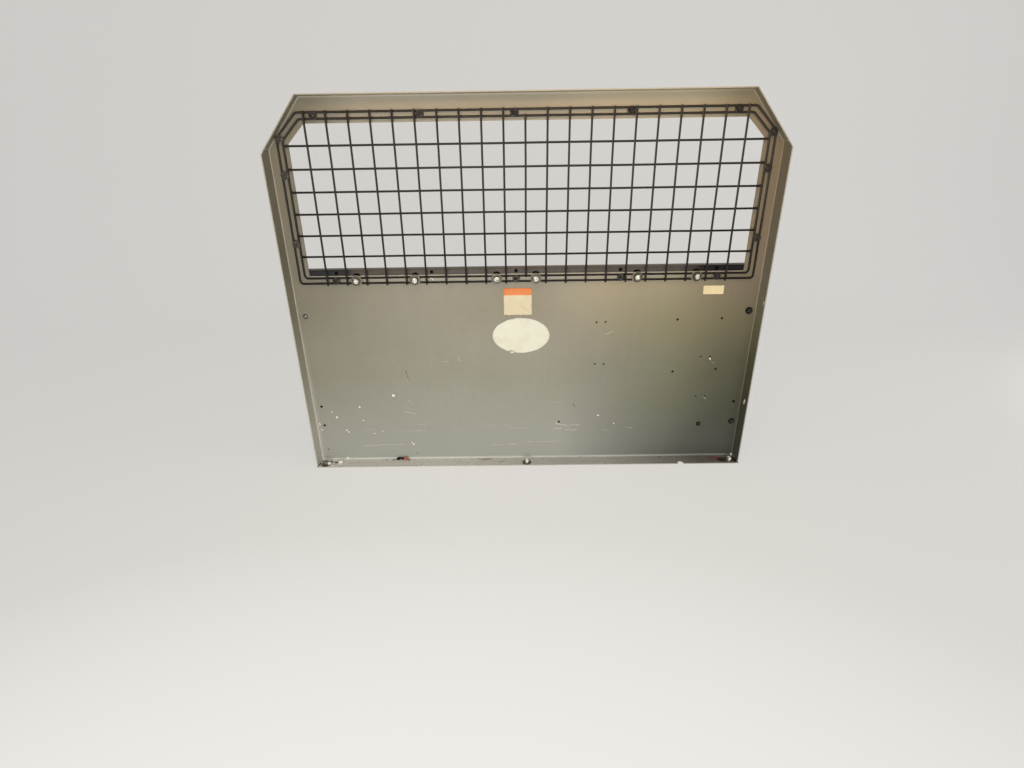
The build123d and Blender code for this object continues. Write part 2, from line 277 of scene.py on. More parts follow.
# Marks are torn at their edges, so they are looked up at a place that wavers by up to 3 mm either way
waver = (6 * mm, 6 * mm, 6 * mm)
tremble = node(tree, "ShaderNodeVectorMath", {0: tremble.outputs["Color"], 1: (0.5, 0.5, 0.5)},
               operation="SUBTRACT")
ragged = node(tree, "ShaderNodeVectorMath", {0: tremble, 1: waver, 2: place}, operation="MULTIPLY_ADD")
knocked = [(on_face(x, z), r * mm) for x, z, r in chips]
knocked.append((Vector((603.5, 10, 179)) * mm, Vector((603.5, 8, 187)) * mm, 4.2 * mm))
knocked.append((Vector((603.5, -3, 460)) * mm, Vector((603.5, -4, 466)) * mm, 2.0 * mm))
chipped = inside(tree, ragged, knocked, 0.35)
# A chip goes through the coat of the side that was hit, and not through the sheet
chipped = overlap(tree, [(deep, (face_y + 1.8) * mm, (face_y + 1.2) * mm),
                         (off_middle, (half_width - 0.8) * mm, (half_width - 1.5) * mm)], chipped)
scuffed = inside(tree, ragged, strokes(on_face, scuffs), 0.8)
marked = inside(tree, ragged, strokes(on_face, dark_marks), 0.5)
# Painted shade round the drilled holes
hole_shade = inside(tree, place, [(on_face(x, z), (r + shade_reach) * mm) for x, z, r, shade_reach in drilled], 0.3)
rubbed_and_edge_highlight = inside(tree, ragged, strokes(on_flange, flange_rubbed_and_edge_highlight), 0.7)
rusted = inside(tree, ragged, strokes(on_flange, flange_rust), 1.0)
dirtied = inside(tree, ragged, strokes(on_flange, flange_dirt), 0.7)
# Wiping and dripping have left faint upright runs, 16 mm wide
runs = node(tree, "ShaderNodeMapping", {"Vector": place, "Scale": (1.0, 1.0, 0.08)})
runs = node(tree, "ShaderNodeTexNoise", {"Vector": runs, "Scale": 1 / 0.016, "Detail": 4.0})
# A film of dust thickens towards the floor and lies on the floor flange, with grit in it; the paling towards
# the floor also stands for light bouncing up from it, as painted light
patchy = node(tree, "ShaderNodeMapRange", {0: clouds, 1: 0.30, 2: 0.65, 3: 0.70, 4: 1.0})
dust_film_and_bounce = overlap(tree, [(height, 0.26, 0.0)], patchy)
at_floor = (height, 0.009, 0.003)
gritty_floor = overlap(tree, [at_floor], grit)
# Over a fold the normal leans both ways, and there a pale painted highlight runs along the bend,
# weaker to the right
leans = [node(tree, "ShaderNodeMath", {0: facing[axis], 1: facing["Y"]}, operation="MULTIPLY")
         for axis in "XZ"]
leans = [node(tree, "ShaderNodeMath", {0: lean}, operation="ABSOLUTE") for lean in leans]
fold_highlight = node(tree, "ShaderNodeMath", {0: leans[0], 1: leans[1]}, operation="MAXIMUM")
less_right = node(tree, "ShaderNodeMapRange", {0: across, 1: 0.0, 2: 0.45, 3: 1.0, 4: 0.50})
fold_highlight = node(tree, "ShaderNodeMath", {0: fold_highlight, 1: less_right}, operation="MULTIPLY")
# Where painted shade lies, at the lower right
shaded_right_low = overlap(tree, [(across, 0.1, 0.7), (height, 0.55, 0.0)])
flank = node(tree, "ShaderNodeMath", {0: facing["X"]}, operation="ABSOLUTE")
on_sheet = (facing["Y"], -0.5, -0.9)
# Tints by where they lie, in metres across and up the panel: its grey changes with painted light and
# shade, dust and handling
coat_colour = layered(tree, "#9b9a8d", [
    ("#918f7f", 1.0, [(clouds, 0.35, 0.68)]),
    # Browner higher up, as a painted warm reflection
    ("#8b816a", 0.70, [(height, 0.22, 0.60)]),
    ("#7d7766", 0.14, [(mottle, 0.45, 0.80)]),
    ("#b5b1a6", 0.08, [(runs, 0.52, 0.75)]),
    ("#827d6d", 0.40, [(across, -0.1, -0.5), (height, 0.05, 0.28)]),
    # Warmer and paler high up right of the middle, as a painted warm reflection
    ("#ad9f7e", 0.75, [(across, 0.0, 0.20), (across, 0.62, 0.40), (height, 0.30, 0.50)]),
    # Round the stickers hands have darkened the coat, and beside the upper end of the left fold it is painted
    # darker, as painted shade
    ("#7d7154", 0.45, [(across, -0.26, -0.10), (across, 0.14, 0.02), (height, 0.33, 0.44)]),
    ("#3f3a2e", 0.14, [(across, -0.42, -0.54), (height, 0.36, 0.44)]),
    # On the right beside the window the grey turns brown, as a painted warm reflection
    ("#74421a", 0.28, [(across, 0.36, 0.58), (height, 0.16, 0.42), on_sheet]),
    # The inner sides of the side flanges are painted darker beside the window than low down, as painted shade
    ("#3b3c37", 0.28, [(flank, 0.5, 0.8), (height, 0.36, 0.56)]),
    # Dust, and painted light towards the floor
    ("#a9aca5", 0.85, [(dust_film_and_bounce, 0, 1)]),
    # The left flange is painted paler low down, as painted light
    ("#c2beb3", 0.45, [(across, -0.598, -0.602), (height, 0.36, 0.08)]),
    # The lower right and the right side are painted darker, as painted shade
    ("#55564d", 0.80, [(shaded_right_low, 0.0, 0.55)]),
    ("#2e2b20", 0.50, [(across, 0.08, 0.64), (height, 0.62, 0.15)]),
    ("#2e2b20", 0.22, [(across, 0.40, 0.54), (height, 0.42, 0.30)]),
    # Right of the middle the grey turns olive
    ("#fdffe6", 1.0, [(across, 0.18, 0.42), (height, 0.06, 0.18), (height, 0.52, 0.40)], "MULTIPLY"),
    # The strip between the perimeter wires, under their clamps, has stayed cleaner, and the window's
    # rubbed lower edge shows as a pale line
    ("#c4bba8", 0.40, [(height, 0.5215, 0.5235), (off_middle, 0.50, 0.38)]),
    ("#d8cfbc", 0.75, [(height, 0.5385, 0.5395), (height, 0.5415, 0.5405), (off_middle, 0.554, 0.552)]),
    # The floor flange is painted pale, for dust and as painted light, and darker to the right as painted
    # shade
    ("#dcddd6", 0.92, [at_floor]),
    ("#9b9e98", 0.60, [at_floor, (across, -0.22, 0.12)]),
    ("#4a4942", 0.80, [at_floor, (across, 0.22, 0.50)]),
    ("#5d5546", 0.6, [(gritty_floor, 0.58, 0.66)]),
    # The cut edges of the side flanges look straight at the load, which has rubbed them paler
    ("#c4c0b2", 0.60, [(facing["Y"], -0.8, -0.95), (deep, 0.020, 0.018)]),
    ("#d8d3c2", 0.90, [(facing["Z"], 0.5, 0.9), (height, 0.1, 0.11)]),
    # Rubbed pale, and a painted highlight along the floor flange's front edge
    ("#cbc8bd", 0.55, [(rubbed_and_edge_highlight, 0, 1)]),
    # Painted highlight along the folds
    ("#cbc9be", 0.42, [(fold_highlight, 0.20, 0.45)]),
    # A pale line painted on the face beside the left fold, low down, as a painted highlight
    ("#cfcdc3", 0.26, [(across, -0.590, -0.599), (height, 0.45, 0.15), on_sheet]),
    ("#cbc9bf", 0.82, [(scuffed, 0, 1)]),
    ("#7a4a38", 0.80, [(rusted, 0.2, 1.0)]),
    ("#332c24", 0.85, [(dirtied, 0.0, 0.7)]),
    ("#2c261e", 0.90, [(marked, 0, 1)]),
    # Near-black rings painted round the drilled holes, as painted shade
    ("#14110c", 0.97, [(hole_shade, 0.0, 0.7)]),
    ("#f6f3e3", 1.0, [(chipped, 0.0, 0.6)]),
])
gloss = node(tree, "ShaderNodeMapRange", {0: mottle, 3: 0.36, 4: 0.50})
for dull, amount in ((dust_film_and_bounce, 0.18), (dirtied, 0.3)):
    gloss = node(tree, "ShaderNodeMath", {0: dull, 1: amount, 2: gloss}, operation="MULTIPLY_ADD")
# The painted shade round the holes and the dirt on the flange swallow the sheen
hole_shade_and_dirt = node(tree, "ShaderNodeMath", {0: hole_shade, 1: dirtied}, operation="MAXIMUM")
relief = node(tree, "ShaderNodeMath", {0: chipped, 1: -1.2, 2: peel}, operation="MULTIPLY_ADD")
fill(shader, {
    "Base Color": coat_colour, "Roughness": gloss,
    "Specular IOR Level": node(tree, "ShaderNodeMapRange", {0: hole_shade_and_dirt, 1: 0.0, 2: 0.7, 3: 0.5, 4: 0.04}),
    "Normal": node(tree, "ShaderNodeBump", {"Strength": 0.35, "Distance": 0.00025, "Height": relief})})
dress(["panel"], powder)

# Rail behind the lower edge of the window. A folded steel angle with a browner powder coat that is nearly
# black towards its ends; its shelf is painted paler, as a painted highlight, and its holes have dark rims
# of painted shade.
rail_coat, tree, shader, place, clouds, mottle, peel = new_finish(
    "powder_coat_taupe", 0.0, 0.45, (0.05, 4.0), (0.010, 3.0), (0.0025, 2.0))
across = node(tree, "ShaderNodeSeparateXYZ", {0: place}).outputs["X"]
outwards = node(tree, "ShaderNodeMath", {0: across}, operation="ABSOLUTE")
facing = facing_axes(tree)
hole_places = [Vector((x, face_y + sheet, 547.0)) * mm for x in (-486, -241.5, -25, 241.5, 486)]
rims = inside(tree, place, [(spot, 5.2 * mm) for spot in hole_places], 0.30)
# A near-black patch is painted above each washer, as painted shade in the gap behind it
bolt_xs = (-434, -284, -75, 25, 284, 435)
shade_above_washers = inside(tree, place, [(Vector((x, face_y + sheet, 534.0)) * mm, 12.6 * mm) for x in bolt_xs], 0.18)
painted_shade = node(tree, "ShaderNodeMath", {0: rims, 1: shade_above_washers}, operation="MAXIMUM")
fill(shader, {
    "Base Color": layered(tree, "#514a42", [
        ("#625950", 0.45, [(clouds, 0.45, 0.70)]),
        ("#453e37", 0.30, [(mottle, 0.50, 0.75)]),
        ("#212124", 0.95, [(outwards, 0.435, 0.462)]),
        ("#060808", 0.75, [(across, 0.39, 0.445)]),
        # Painted highlight on the shelf
        ("#8f897c", 0.50, [(facing["Z"], 0.5, 0.9)]),
        # Painted shade above the washers
        ("#0b0a09", 1.0, [(shade_above_washers, 0.0, 0.4)]),
        # Painted shade round the holes
        ("#0f0d0c", 0.95, [(rims, 0.0, 0.7)])]),
    "Specular IOR Level": node(tree, "ShaderNodeMapRange", {0: painted_shade, 1: 0.0, 2: 0.5, 3: 0.25, 4: 0.02}),
    "Roughness": node(tree, "ShaderNodeMapRange", {0: mottle, 3: 0.38, 4: 0.55}),
    "Normal": node(tree, "ShaderNodeBump", {"Strength": 0.35, "Distance": 0.00025, "Height": peel})})
dress(["sill_rail"], rail_coat)

# Perimeter wires. Two rounds of 5 mm drawn steel wire bent round the window, welded to the grille and
# powder coated black with it: semi-gloss, with dust and a painted sheen on top, and a painted brownish grey
# highlight on the fronts and left sides of the wires up high.
black_coat, tree, shader, place, dapple, fine = new_finish(
    "powder_coat_black", 0.0, 0.34, (0.014, 4.0), (0.0030, 2.0))
facing = facing_axes(tree)
height = node(tree, "ShaderNodeSeparateXYZ", {0: place}).outputs["Z"]
fill(shader, {
    "Specular IOR Level": 0.22,
    "Base Color": layered(tree, "#121110", [
        ("#241d18", 0.6, [(dapple, 0.40, 0.75)]),
        # Painted sheen on the fronts up high
        ("#4a4641", 0.40, [(facing["Y"], -0.3, -0.9), (height, 0.62, 0.80)]),
        # Painted highlight on the left sides up high
        ("#6b665d", 0.45, [(facing["X"], -0.2, -0.8), (height, 0.60, 0.72)]),
        # Pale on top: dust and a painted sheen
        ("#45403a", 0.35, [(facing["Z"], 0.3, 1.0)]),
        ("#4d463c", 0.40, [(fine, 0.66, 0.74)])]),
    "Roughness": node(tree, "ShaderNodeMapRange", {0: dapple, 1: 0.3, 2: 0.7, 3: 0.30, 4: 0.48}),
    "Normal": node(tree, "ShaderNodeBump", {"Strength": 0.3, "Distance": 0.0002, "Height": fine})})
dress(["perimeter_wire_outer", "perimeter_wire_inner"], black_coat)


# Wire grille. Straight 5 mm wires 2 inches apart: twenty long uprights, a shorter one in the middle, and
# six crossbars behind them. Each crossing is resistance welded and shows a small nugget, and the
# crossbars end in blobs of weld against the inner perimeter wire.
def as_mesh(shape, name, crease=None):
    """The mesh of a shape, shaded smooth, but for edges that turn by more than the crease in degrees."""
    mesh = bpy.data.meshes.new(name)
    shape.to_mesh(mesh)
    shape.free()
    mesh.polygons.foreach_set("use_smooth", [True] * len(mesh.polygons))
    if crease:
        mesh.set_sharp_from_angle(angle=radians(crease))
    return mesh


def turned(profile, segments=32, closed=False):
    """A shape turned round Z through rings of radius, height and, where a ring is a polygon, its sides.
    It ends in its poles or, if it is closed, joins its last ring to its first one."""
    shape = bmesh.new()
    rings = []
    for radius, height, *sides in profile:
        ring = []
        for i in range(segments if radius else 1):
            angle = 2 * pi * i / segments
            sector = 2 * pi / sides[0] if sides else 0
            reach = radius / cos(angle % sector - sector / 2) if sides else radius
            ring.append(shape.verts.new((reach * cos(angle), reach * sin(angle), height)))
        rings.append(ring)
    for low, high in zip(rings, rings[1:] + rings[:1] if closed else rings[1:]):
        for i in range(segments):
            j = i + 1
            corners = [low[i % len(low)], low[j % len(low)], high[j % len(high)], high[i % len(high)]]
            shape.faces.new(list(dict.fromkeys(corners)))
    bmesh.ops.recalc_face_normals(shape, faces=shape.faces)
    return bpy.data.objects.new("master", as_mesh(shape, "turned", 38))


def new_tree(name, sockets):
    """A geometry tree with named inputs, and the outputs that give them."""
    tree = bpy.data.node_groups.new(name, "GeometryNodeTree")
    tree.interface.new_socket("Geometry", in_out="OUTPUT", socket_type="NodeSocketGeometry")
    tree.interface.new_socket("Geometry", in_out="INPUT", socket_type="NodeSocketGeometry")
    for label, kind in sockets.items():
        tree.interface.new_socket(label, in_out="INPUT", socket_type="NodeSocket" + kind)
    return tree, node(tree, "NodeGroupInput").outputs


def grow(name, source, tree, values):
    """The mesh that a geometry tree makes of a source mesh, with the tree's inputs given by name."""
    holder = bpy.data.objects.new(name, source)
    scene.collection.objects.link(holder)
    modifier = holder.modifiers.new(name, "NODES")
    modifier.node_group = tree
    for socket in tree.interface.items_tree:
        if socket.name in values:
            modifier[socket.identifier] = values[socket.name]
    made = bpy.data.meshes.new_from_object(holder.evaluated_get(bpy.context.evaluated_depsgraph_get()))
    bpy.data.objects.remove(holder)
    made.name = name
    return made


def add_piece(name, mesh, replaced=()):
    piece = bpy.data.objects.new(name, mesh)
    scene.collection.objects.link(piece)
    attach(piece, "root")
    if replaced:
        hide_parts(*replaced)


wire_r, pitch, columns, rows = 2.5 * mm, 50.8 * mm, 10, 6
upright_low, upright_high = 516.5 * mm, 915.5 * mm
middle_low, middle_high = 532.0 * mm, 902.0 * mm
top_row_z, crossbar_half = 843.0 * mm, 563.45 * mm
upright_y, crossbar_y = 23.4 * mm, 28.45 * mm
weld_y = (upright_y + crossbar_y) / 2
# The heights where the uprights are welded to the perimeter wires, and whether the middle one reaches
ring_rows = {521.5 * mm: False, 535.0 * mm: True, 899.0 * mm: True, 912.5 * mm: False}


def straight_wire(length):
    """A wire along Z about its middle, sheared off at both ends, which leaves their edges slightly round."""
    half = length / 2
    end = [(0, half), (wire_r - 0.9 * mm, half), (wire_r - 0.3 * mm, half - 0.25 * mm),
           (wire_r, half - 0.9 * mm)]
    stations = [(wire_r, half * (1 - i / 8)) for i in range(1, 16)]
    return turned(end + stations + [(radius, -height) for radius, height in reversed(end)], 20)


tree, given = new_tree("welded_grille", {
    "Upright": "Object", "Middle upright": "Object", "Crossbar": "Object", "Columns": "Int", "Rows": "Int",
    "Pitch": "Float", "Upright place": "Vector", "Middle place": "Vector", "Crossbar place": "Vector",
    "Weld place": "Vector", "Weld radius": "Float", "Blob radius": "Float", "Blob reach": "Float",
    "Bow": "Float", "Seed": "Int", "Finish": "Material"})
backwards = node(tree, "ShaderNodeMath", {0: given["Pitch"], 1: -1.0}, operation="MULTIPLY")
first_x = node(tree, "ShaderNodeMath", {0: given["Columns"], 1: backwards}, operation="MULTIPLY")
count = node(tree, "ShaderNodeMath", {0: given["Columns"], 1: 2.0, 2: 1.0}, operation="MULTIPLY_ADD")
all_columns = node(tree, "GeometryNodeMeshLine", {
    "Count": count, "Start Location": node(tree, "ShaderNodeCombineXYZ", {0: first_x}),
    "Offset": node(tree, "ShaderNodeCombineXYZ", {0: given["Pitch"]})})
is_middle = node(tree, "FunctionNodeCompare", {2: node(tree, "GeometryNodeInputIndex"), 3: given["Columns"]},
                 data_type="INT", operation="EQUAL")
long_columns = node(tree, "GeometryNodeDeleteGeometry", {0: all_columns, 1: is_middle})
one_point = node(tree, "GeometryNodeMeshLine", {"Count": 1})
row_step = node(tree, "ShaderNodeCombineXYZ", {2: backwards})
all_rows = node(tree, "GeometryNodeMeshLine", {"Count": given["Rows"], "Offset": row_step})
wires = []
for points, wire, shift in ((long_columns, "Upright", "Upright place"),
                            (one_point, "Middle upright", "Middle place"),
                            (all_rows, "Crossbar", "Crossbar place")):
    placed = node(tree, "GeometryNodeSetPosition", {0: points, "Offset": given[shift]})
    shape = node(tree, "GeometryNodeObjectInfo", {"Object": given[wire]}).outputs["Geometry"]
    wires.append(node(tree, "GeometryNodeInstanceOnPoints", {0: placed, "Instance": shape}))
# No wire is quite straight: each bows by a fraction of a millimetre along its own length
straight = node(tree, "GeometryNodeRealizeInstances", {0: node(tree, "GeometryNodeJoinGeometry", {0: wires})})
drift = node(tree, "ShaderNodeTexNoise", {
    "Vector": node(tree, "GeometryNodeInputPosition"), "W": given["Seed"], "Scale": 1 / 0.17, "Detail": 1.0},
             noise_dimensions="4D").outputs["Color"]
for operation, factor in (("SUBTRACT", {1: (0.5, 0.5, 0.5)}), ("MULTIPLY", {1: (1.0, 0.0, 1.0)}),
                          ("SCALE", {"Scale": given["Bow"]})):
    drift = node(tree, "ShaderNodeVectorMath", {0: drift, **factor}, operation=operation)
bowed = node(tree, "GeometryNodeSetPosition", {0: straight, "Offset": drift})
nugget = node(tree, "GeometryNodeMeshUVSphere", {"Segments": 8, "Rings": 5, "Radius": given["Weld radius"]})
nugget = node(tree, "GeometryNodeTransform", {
    0: nugget, "Rotation": (radians(90), 0, 0), "Scale": (1.0, 0.62, 1.0)})
crossings = []
for row in range(rows):
    down = node(tree, "ShaderNodeVectorMath", {0: row_step, "Scale": float(row)}, operation="SCALE")
    down = node(tree, "ShaderNodeVectorMath", {0: down, 1: given["Weld place"]}, operation="ADD")
    crossings.append(node(tree, "GeometryNodeSetPosition", {0: all_columns, "Offset": down}))
for height, reached_by_middle in ring_rows.items():
    points = all_columns if reached_by_middle else long_columns
    crossings.append(node(tree, "GeometryNodeSetPosition", {0: points, "Offset": (0, weld_y, height)}))
size = node(tree, "FunctionNodeRandomValue", {2: 0.8, 3: 1.15, "Seed": given["Seed"]}).outputs[1]
nuggets = node(tree, "GeometryNodeInstanceOnPoints", {
    0: node(tree, "GeometryNodeJoinGeometry", {0: crossings}), "Instance": nugget, "Scale": size})
blob = node(tree, "GeometryNodeMeshUVSphere", {"Segments": 14, "Rings": 9, "Radius": given["Blob radius"]})
ends = []
for side in (-1.0, 1.0):
    shift = node(tree, "ShaderNodeMath", {0: given["Blob reach"], 1: side}, operation="MULTIPLY")
    shift = node(tree, "ShaderNodeVectorMath", {0: node(tree, "ShaderNodeCombineXYZ", {0: shift}),
                                                1: given["Crossbar place"]}, operation="ADD")
    ends.append(node(tree, "GeometryNodeSetPosition", {0: all_rows, "Offset": shift}))
uneven = node(tree, "FunctionNodeRandomValue", {
    0: (1.1, 0.75, 0.85), 1: (1.5, 0.95, 1.15), "Seed": given["Seed"]}, data_type="FLOAT_VECTOR")
blobs = node(tree, "GeometryNodeInstanceOnPoints", {
    0: node(tree, "GeometryNodeJoinGeometry", {0: ends}), "Instance": blob, "Scale": uneven})
whole = node(tree, "GeometryNodeRealizeInstances", {
    0: node(tree, "GeometryNodeJoinGeometry", {0: [bowed, nuggets, blobs]})})
whole = node(tree, "GeometryNodeSetMaterial", {0: whole, "Material": given["Finish"]})
node(tree, "NodeGroupOutput", {0: whole})
crossbar = straight_wire(2 * crossbar_half)
crossbar.data.transform(Matrix.Rotation(radians(90), 4, "Y"))
grille = grow("grille_mesh", bpy.data.meshes.new("seed"), tree, {
    "Upright": straight_wire(upright_high - upright_low), "Crossbar": crossbar,
    "Middle upright": straight_wire(middle_high - middle_low),
    "Columns": columns, "Rows": rows, "Pitch": pitch, "Crossbar place": (0, crossbar_y, top_row_z),
    "Upright place": (0, upright_y, (upright_low + upright_high) / 2),
    "Middle place": (0, upright_y, (middle_low + middle_high) / 2),
    "Weld place": (0, weld_y, top_row_z), "Weld radius": 3.7 * mm, "Blob radius": 2.9 * mm,
    "Blob reach": crossbar_half - 1 * mm, "Bow": 1.6 * mm, "Seed": 4, "Finish": black_coat})
grille.polygons.foreach_set("use_smooth", [True] * len(grille.polygons))
add_piece("grille_mesh", grille, ("grille_uprights", "grille_middle_upright", "grille_crossbars"))

# Clamps. A button-head screw with a hexagon socket draws a black steel disc down on both perimeter wires,
# into a zinc-plated rivet nut in the panel. One clamp of the lower row is lost, and its nut stands open.
clamp_xs, clamp_low_z, clamp_high_z = (-486, -241.5, -25, 241.5, 486), 528.25, 905.75
clamp_side_x, clamp_side_zs, lost_x = 572.75, (621, 780, 857.7), -241.5
lower_clamps = [(x, face_y, clamp_low_z, 0.15) for x in clamp_xs if x != lost_x]
upper_clamps = [(x, face_y, clamp_high_z, 0.2 if x < -25 else 0.1) for x in clamp_xs]
side_clamps = [(x, face_y, z, 0.3 if x < 0 else 0.2) for x in (-clamp_side_x, clamp_side_x)
               for z in clamp_side_zs]
# Discs and screws are phosphated, a dry black that has worn to bare steel on those at the sides. Phosphate
# crystals are too fine to show, so the dapple is drawn 4 mm wide
clamp_black, tree, shader, place, dapple = new_finish("black_phosphate_steel", 0.0, 0.38, (0.004, 4.0))
wear_and_glint = node(tree, "ShaderNodeAttribute", attribute_name="wear_and_glint").outputs["Fac"]
deep = node(tree, "ShaderNodeSeparateXYZ", {0: place}).outputs["Y"]
facing = facing_axes(tree)
outwards = node(tree, "ShaderNodeMapRange", {0: facing["Y"], 1: -0.70, 2: -0.97, 3: 0.10, 4: 0.36})
bare = node(tree, "ShaderNodeMath", {0: wear_and_glint, 1: outwards, 2: dapple}, operation="MULTIPLY_ADD")
bare = overlap(tree, [(bare, 0.62, 0.84)])
fill(shader, {
    "Specular IOR Level": node(tree, "ShaderNodeMapRange", {0: wear_and_glint, 1: 0.05, 2: 0.10, 3: 0.05, 4: 0.32}),
    "Base Color": layered(tree, "#201d1b", [
        ("#332b26", 0.6, [(dapple, 0.40, 0.70)]),
        ("#5a5147", 0.25, [(facing["Z"], 0.3, 0.9)]),
        ("#55504a", 0.45, [(wear_and_glint, 0.15, 0.30)]),
        ("#0b0b0a", 0.80, [(wear_and_glint, 0.10, 0.05)]),
        # The flanged screws in the panel are black, with a grey painted glint on the tops of their domes
        ("#5d605c", 0.42, [(wear_and_glint, 0.10, 0.05), (deep, 0.0282, 0.0268)]),
        ("#a8a59b", 0.90, [(bare, 0, 1)])]),
    "Metallic": bare,
    "Roughness": node(tree, "ShaderNodeMapRange", {0: dapple, 3: 0.30, 4: 0.52}),
    "Normal": node(tree, "ShaderNodeBump", {"Strength": 0.4, "Distance": 0.00015, "Height": dapple})})

# Rivet nuts and hexagon nuts are zinc plated. Nobody handles them, so the plating has gone a dull grey with
# brown freckles and gives only a soft glint; the freckles are drawn coarser than they are, 3 mm wide
zinc_dull, tree, shader, place, dapple = new_finish("zinc_plated_steel_dull", 1.0, 0.42, (0.003, 4.0))
fill(shader, {
    "Base Color": layered(tree, "#a5a294", [
        ("#7c7564", 0.7, [(dapple, 0.40, 0.70)]),
        ("#584a38", 0.8, [(dapple, 0.64, 0.74)])]),
    "Roughness": node(tree, "ShaderNodeMapRange", {0: dapple, 3: 0.32, 4: 0.58}),
    "Normal": node(tree, "ShaderNodeBump", {"Strength": 0.3, "Distance": 0.0001, "Height": dapple})})

row_tree, given = new_tree("fastener_row", {
    "Fastener": "Object", "Axis": "Vector", "Turn": "Float", "Seed": "Int", "Finish": "Material"})
shape = node(row_tree, "GeometryNodeObjectInfo", {"Object": given["Fastener"]}).outputs["Geometry"]
stood = node(row_tree, "GeometryNodeInstanceOnPoints", {
    0: given["Geometry"], "Instance": shape, "Rotation": given["Axis"]})
most = node(row_tree, "ShaderNodeCombineXYZ", {2: given["Turn"]})
turn = node(row_tree, "FunctionNodeRandomValue", {1: most, "Seed": given["Seed"]}, data_type="FLOAT_VECTOR")
stood = node(row_tree, "GeometryNodeRotateInstances", {0: stood, "Rotation": turn, "Local Space": True})
stood = node(row_tree, "GeometryNodeRealizeInstances", {0: stood})
stood = node(row_tree, "GeometryNodeSetMaterial", {0: stood, "Material": given["Finish"]})
node(row_tree, "NodeGroupOutput", {0: stood})
out_of_face, upwards = (radians(90), 0, 0), (0, 0, 0)


def sized(profile, segments, closed=False):
    """A turned shape from a profile in millimetres."""
    scaled = [(radius * mm, height * mm, *sides) for radius, height, *sides in profile]
    return turned(scaled, segments, closed)


def set_row(name, places, master, finish, seed, replaced=(), axis=out_of_face, turn=2 * pi):
    """One fastener at each place, given in millimetres with its wear and painted glint, as one piece."""
    points = bpy.data.meshes.new(name)
    points.from_pydata([[value * mm for value in place[:3]] for place in places], [], [])
    points.attributes.new("wear_and_glint", "FLOAT", "POINT").data.foreach_set("value", [place[3] for place in places])
    values = {"Fastener": master, "Axis": axis, "Turn": turn, "Seed": seed, "Finish": finish}
    add_piece(name, grow(name, points, row_tree, values), replaced)


# Profiles are rings of radius and height above the surface that carries them, in millimetres
seat, head = 5.15, 7.15
disc = [(3.3, seat), (8.9, seat), (9.5, seat + 0.5), (9.5, seat + 1.2), (8.8, seat + 1.8), (7.6, head),
        (3.7, head), (3.3, head - 0.3)]
screw = [(0, -12.0), (2.5, -12.0), (3.0, -11.4), (3.0, head), (5.2, head), (5.5, head + 0.35),
         (5.35, head + 1.1), (4.8, head + 2.0), (3.9, head + 2.8), (3.0, head + 3.25), (2.45, head + 3.4),
         (1.95, head + 3.15, 6), (1.95, head + 1.5, 6), (1.0, head + 1.0, 6), (0, head + 0.8)]
nut = [(3.05, 0.8), (4.3, 0.8), (4.5, 0.55), (4.5, 0.05), (4.0, 0.0), (4.0, -2.5), (4.9, -3.0), (5.0, -3.9),
       (4.2, -4.6), (4.0, -5.2), (4.0, -11.6), (3.7, -12.0), (3.05, -12.0)]
# Where the rail lies behind the sheet, the nut's bulge sits deeper by the rail's thickness
deep_nut = [(r, h - 2.5 if -5.5 < h < -2 else h) for r, h in nut]
for name, part, master, seed in (("clamp_discs_", "washers", sized(disc, 40, True), 11),
                                 ("clamp_screw_row_", "screws", sized(screw, 36), 14)):
    for number, (row, places) in enumerate((("lower", lower_clamps), ("upper", upper_clamps),
                                            ("side", side_clamps))):
        set_row(name + row, places, master, clamp_black, seed + number, [row + "_clamp_" + part])
set_row("rivet_nut_row_upper", upper_clamps + side_clamps, sized(nut, 32, True), zinc_dull, 17,
        ["rivet_nuts"])
set_row("rivet_nut_row_lower", lower_clamps + [(lost_x, face_y, clamp_low_z, 0.5)], sized(deep_nut, 32, True),
        zinc_dull, 18, ["rivet_nuts"])

# Bolts through the lower perimeter wires, the panel and the rail. Zinc-plated hexagon bolts with a dished
# head on broad dark washers, and nuts behind the rail. The plating is bright, with a soft glint, and the
# heads are painted white and chalky as a painted glint, so that they look paler than metal.
# Its clouding is finer on a real bolt, and is drawn 3 mm wide so that it shows
bright_zinc, tree, shader, place, dapple, blotches = new_finish(
    "zinc_plated_steel_bright", 1.0, 0.36, (0.003, 4.0), (0.0055, 1.0))
wear_and_glint = node(tree, "ShaderNodeAttribute", attribute_name="wear_and_glint").outputs["Fac"]
facing = facing_axes(tree)
